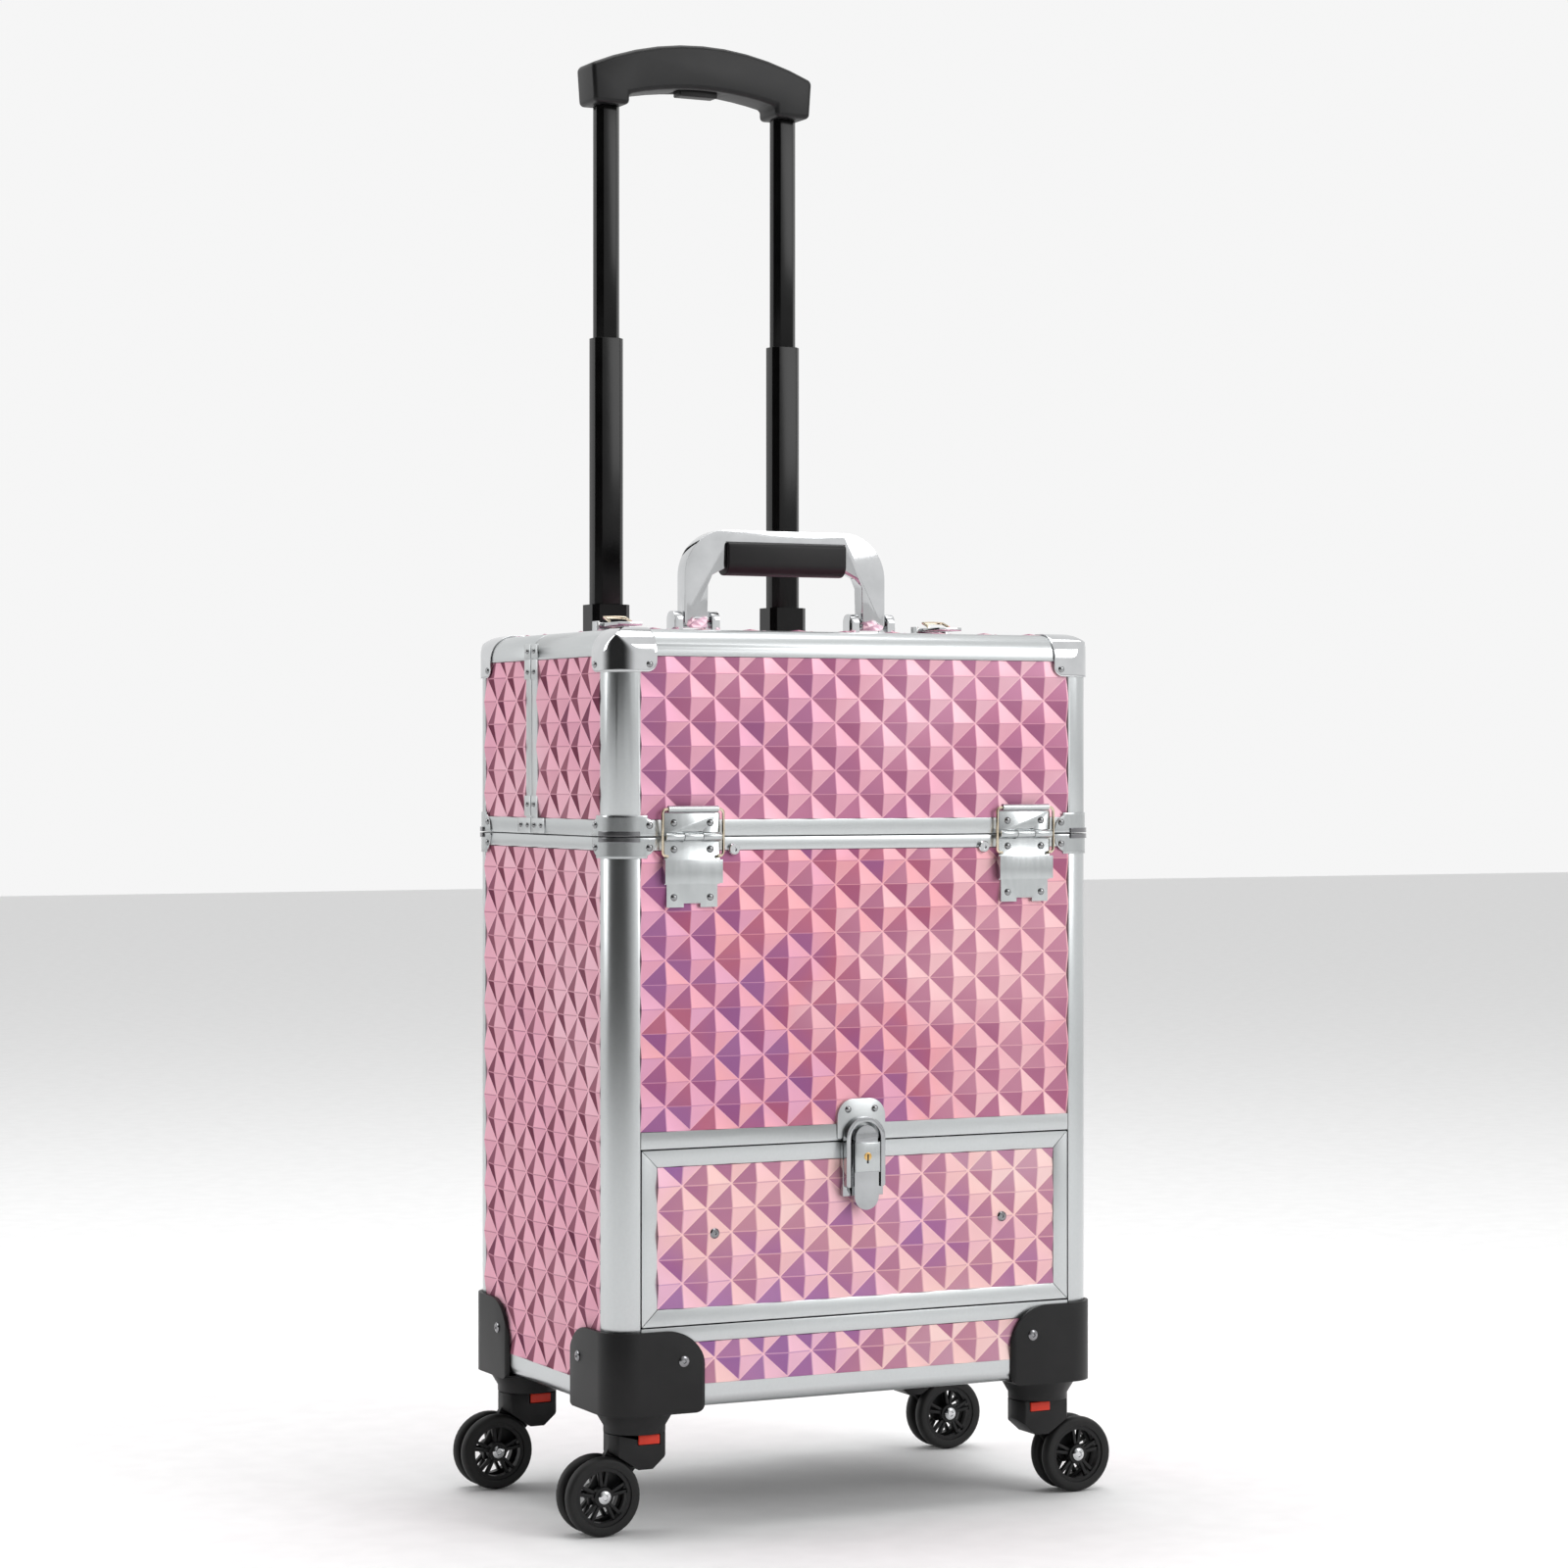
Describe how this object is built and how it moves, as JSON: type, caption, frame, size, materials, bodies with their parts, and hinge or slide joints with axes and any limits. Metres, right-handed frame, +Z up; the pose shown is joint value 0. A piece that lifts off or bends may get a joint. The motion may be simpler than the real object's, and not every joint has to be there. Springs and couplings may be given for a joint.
{
  "type": "makeup train case",
  "caption": "Rolling makeup train case: framed box with embossed panels, hinged front lid half, drawer, carry handle, telescopic trolley handle and twin-wheel casters.",
  "frame": {"origin": "middle of the bounding box on the floor, under the case", "axes": "+X to the case's right seen from the front, -Y towards the front face, +Z up"},
  "size_m": [0.408, 0.2874, 1.022],
  "materials": {
    "satin_aluminium": "satin anodised extrusion",
    "embossed_panel": "iridescent pink foil embossed with pyramids",
    "lining": "matte dark lining",
    "chrome": "polished plating",
    "black_grip": "fine grained grip plastic",
    "black_tube": "black anodised, semi-gloss",
    "black_plastic": "fine textured moulding",
    "wheel_rubber": "moulded tread and rim",
    "red_tab": "satin red moulding"
  },
  "bodies": {
    "case": {"front_left_post": "satin_aluminium", "front_right_post": "satin_aluminium", "rear_left_post": "satin_aluminium", "rear_right_post": "satin_aluminium", "base_rim": "satin_aluminium", "bottom_frame": "satin_aluminium", "drawer_upper_rail": "satin_aluminium", "drawer_lower_rail": "satin_aluminium", "front_panel": "embossed_panel", "kick_panel": "embossed_panel", "rear_panel": "embossed_panel", "left_side_panel": "embossed_panel", "right_side_panel": "embossed_panel", "base_floor": "lining", "drawer_shelf": "lining", "rear_section_frame": "satin_aluminium", "rear_section_shell": "embossed_panel", "left_hinge_lower_leaf": "chrome", "right_hinge_lower_leaf": "chrome", "left_outer_tube": "black_tube", "right_outer_tube": "black_tube", "front_left_corner_guard": "black_plastic", "front_right_corner_guard": "black_plastic", "rear_left_corner_guard": "black_plastic", "rear_right_corner_guard": "black_plastic"},
    "front_lid": {"front_lid_frame": "satin_aluminium", "front_lid_shell": "embossed_panel", "left_hinge_upper_leaf": "chrome", "right_hinge_upper_leaf": "chrome", "left_handle_bracket": "chrome", "right_handle_bracket": "chrome"},
    "left_stay": {"left_stay_wire": "chrome"},
    "right_stay": {"right_stay_wire": "chrome"},
    "left_latch": {"left_latch_lever": "chrome"},
    "right_latch": {"right_latch_lever": "chrome"},
    "carry_handle": {"carry_handle_bar": "chrome", "carry_handle_grip": "black_grip"},
    "drawer": {"drawer_frame": "satin_aluminium", "drawer_panel": "embossed_panel", "drawer_box": "lining", "drawer_lock_plate": "chrome"},
    "drawer_lock": {"drawer_lock_lever": "chrome"},
    "trolley_middle": {"left_middle_tube": "black_tube", "right_middle_tube": "black_tube"},
    "trolley_top": {"left_inner_tube": "black_tube", "right_inner_tube": "black_tube", "trolley_grip": "black_grip"},
    "trolley_release": {"trolley_button": "black_grip"},
    "front_left_swivel": {"front_left_fork": "black_plastic"},
    "front_left_wheelset": {"front_left_wheels": "wheel_rubber"},
    "front_left_tab": {"front_left_release_tab": "red_tab"},
    "front_right_swivel": {"front_right_fork": "black_plastic"},
    "front_right_wheelset": {"front_right_wheels": "wheel_rubber"},
    "front_right_tab": {"front_right_release_tab": "red_tab"},
    "rear_left_swivel": {"rear_left_fork": "black_plastic"},
    "rear_left_wheelset": {"rear_left_wheels": "wheel_rubber"},
    "rear_left_tab": {"rear_left_release_tab": "red_tab"},
    "rear_right_swivel": {"rear_right_fork": "black_plastic"},
    "rear_right_wheelset": {"rear_right_wheels": "wheel_rubber"},
    "rear_right_tab": {"rear_right_release_tab": "red_tab"}
  },
  "joints": [
    {"name": "front_lid_hinge", "type": "hinge", "parent": "case", "child": "front_lid", "pos_m": [0, -0.13545, 0.455], "axis": [1, 0, 0], "range_deg": [0, 95]},
    {"name": "left_stay_pivot", "type": "hinge", "parent": "front_lid", "child": "left_stay", "pos_m": [0, -0.13585, 0.473], "axis": [1, 0, 0], "range_deg": [-95, 0]},
    {"name": "right_stay_pivot", "type": "hinge", "parent": "front_lid", "child": "right_stay", "pos_m": [0, -0.13585, 0.473], "axis": [1, 0, 0], "range_deg": [-95, 0]},
    {"name": "left_latch_pivot", "type": "hinge", "parent": "front_lid", "child": "left_latch", "pos_m": [0, -0.00125, 0.5965], "axis": [-1, 0, 0], "range_deg": [0, 100]},
    {"name": "right_latch_pivot", "type": "hinge", "parent": "front_lid", "child": "right_latch", "pos_m": [0, -0.00125, 0.5965], "axis": [-1, 0, 0], "range_deg": [0, 100]},
    {"name": "carry_handle_pivot", "type": "hinge", "parent": "front_lid", "child": "carry_handle", "pos_m": [0, -0.01425, 0.601], "axis": [1, 0, 0], "range_deg": [-86, 86]},
    {"name": "drawer_slide", "type": "slide", "parent": "case", "child": "drawer", "axis": [0, -1, 0], "range_m": [0, 0.19]},
    {"name": "drawer_lock_pivot", "type": "hinge", "parent": "drawer", "child": "drawer_lock", "pos_m": [0, -0.14075, 0.258], "axis": [-1, 0, 0], "range_deg": [0, 60]},
    {"name": "trolley_middle_slide", "type": "slide", "parent": "case", "child": "trolley_middle", "axis": [0, 0, 1], "range_m": [-0.185, 0]},
    {"name": "trolley_top_slide", "type": "slide", "parent": "trolley_middle", "child": "trolley_top", "axis": [0, 0, 1], "range_m": [-0.16, 0]},
    {"name": "trolley_button_press", "type": "slide", "parent": "trolley_top", "child": "trolley_release", "axis": [0, 0, 1], "range_m": [0, 0.003], "stiffness_N_per_m": 400},
    {"name": "front_left_swivel_turn", "type": "hinge", "parent": "case", "child": "front_left_swivel", "pos_m": [-0.152, -0.10425, 0.06], "axis": [0, 0, 1], "continuous": true},
    {"name": "front_left_wheel_spin", "type": "hinge", "parent": "front_left_swivel", "child": "front_left_wheelset", "pos_m": [-0.178, -0.10425, 0.026], "axis": [0, 1, 0], "continuous": true},
    {"name": "front_left_tab_press", "type": "slide", "parent": "front_left_swivel", "child": "front_left_tab", "axis": [0, 1, 0], "range_m": [0, 0.0012], "stiffness_N_per_m": 400},
    {"name": "front_right_swivel_turn", "type": "hinge", "parent": "case", "child": "front_right_swivel", "pos_m": [0.152, -0.10425, 0.06], "axis": [0, 0, 1], "continuous": true},
    {"name": "front_right_wheel_spin", "type": "hinge", "parent": "front_right_swivel", "child": "front_right_wheelset", "pos_m": [0.178, -0.10425, 0.026], "axis": [0, 1, 0], "continuous": true},
    {"name": "front_right_tab_press", "type": "slide", "parent": "front_right_swivel", "child": "front_right_tab", "axis": [0, 1, 0], "range_m": [0, 0.0012], "stiffness_N_per_m": 400},
    {"name": "rear_left_swivel_turn", "type": "hinge", "parent": "case", "child": "rear_left_swivel", "pos_m": [-0.152, 0.07975, 0.06], "axis": [0, 0, 1], "continuous": true},
    {"name": "rear_left_wheel_spin", "type": "hinge", "parent": "rear_left_swivel", "child": "rear_left_wheelset", "pos_m": [-0.178, 0.07975, 0.026], "axis": [0, 1, 0], "continuous": true},
    {"name": "rear_left_tab_press", "type": "slide", "parent": "rear_left_swivel", "child": "rear_left_tab", "axis": [0, 1, 0], "range_m": [0, 0.0012], "stiffness_N_per_m": 400},
    {"name": "rear_right_swivel_turn", "type": "hinge", "parent": "case", "child": "rear_right_swivel", "pos_m": [0.152, 0.07975, 0.06], "axis": [0, 0, 1], "continuous": true},
    {"name": "rear_right_wheel_spin", "type": "hinge", "parent": "rear_right_swivel", "child": "rear_right_wheelset", "pos_m": [0.178, 0.07975, 0.026], "axis": [0, 1, 0], "continuous": true},
    {"name": "rear_right_tab_press", "type": "slide", "parent": "rear_right_swivel", "child": "rear_right_tab", "axis": [0, 1, 0], "range_m": [0, 0.0012], "stiffness_N_per_m": 400}
  ],
  "couplings": [
    {"joint": "left_stay_pivot", "follows": "front_lid_hinge", "ratio": -1},
    {"joint": "right_stay_pivot", "follows": "front_lid_hinge", "ratio": -1}
  ]
}
